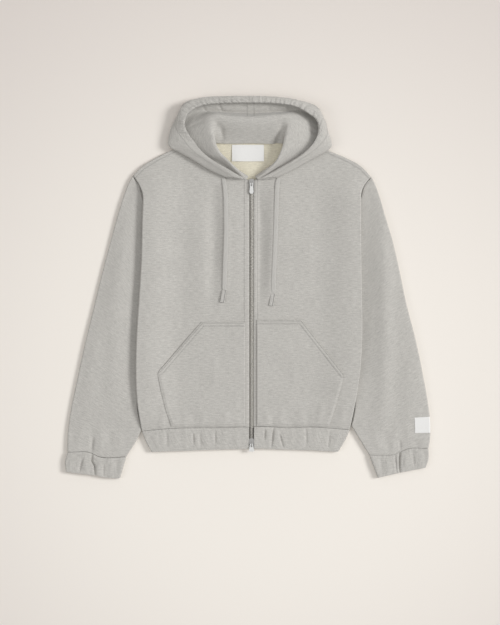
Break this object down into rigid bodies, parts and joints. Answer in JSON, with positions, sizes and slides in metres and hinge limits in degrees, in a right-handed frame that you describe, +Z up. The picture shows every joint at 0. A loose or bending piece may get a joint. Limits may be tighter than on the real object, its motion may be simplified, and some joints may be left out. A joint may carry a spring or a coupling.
{
  "type": "zip up hoodie",
  "caption": "Grey marl zip up hooded sweatshirt laid flat face up, with kangaroo pockets, flat drawcords, a two-way metal zip and gathered cuffs and hem band.",
  "frame": {"origin": "on the floor under the zip line, in the middle of the back panel's flat underside", "axes": "+X to the right in the view from above (the wearer's left sleeve), +Y along the zip towards the hood, +Z up from the floor out of the front"},
  "size_m": [0.7673, 0.802, 0.0335],
  "materials": {
    "fleece": "matte brushed fleece, grey marl face",
    "brushed_inside": "grey marl face outside, pale cream brushed pile inside",
    "zip_metal": "satin silver metal",
    "zip_tape": "woven taupe tape",
    "label": "plain white woven satin, blank",
    "drawcord": "flat woven cotton, light grey"
  },
  "bodies": {
    "garment": {"front_left": "fleece", "front_right": "fleece", "pocket_left": "fleece", "pocket_right": "fleece", "sleeve_left": "fleece", "sleeve_right": "fleece", "cuff_left": "fleece", "cuff_right": "fleece", "hem_band": "fleece", "hood_shell_left": "fleece", "hood_shell_right": "fleece", "hood_lining_left": "fleece", "hood_lining_right": "fleece", "back": "brushed_inside", "zip_chain": "zip_metal", "slider_top": "zip_metal", "slider_bottom": "zip_metal", "zip_tape_left": "zip_tape", "zip_tape_right": "zip_tape", "neck_label": "label", "sleeve_label": "label", "drawcord_left": "drawcord", "drawcord_right": "drawcord", "cord_tip_left": "drawcord", "cord_tip_right": "drawcord"},
    "top_pull": {"pull_top": "zip_metal"},
    "bottom_pull": {"pull_bottom": "zip_metal"}
  },
  "joints": [
    {"name": "top_pull_hinge", "type": "hinge", "parent": "garment", "child": "top_pull", "pos_m": [0, 0.2195, 0.0126], "axis": [-1, 0, 0], "range_deg": [0, 150]},
    {"name": "bottom_pull_hinge", "type": "hinge", "parent": "garment", "child": "bottom_pull", "pos_m": [0, -0.328, 0.012], "axis": [-1, 0, 0], "range_deg": [0, 150]}
  ]
}
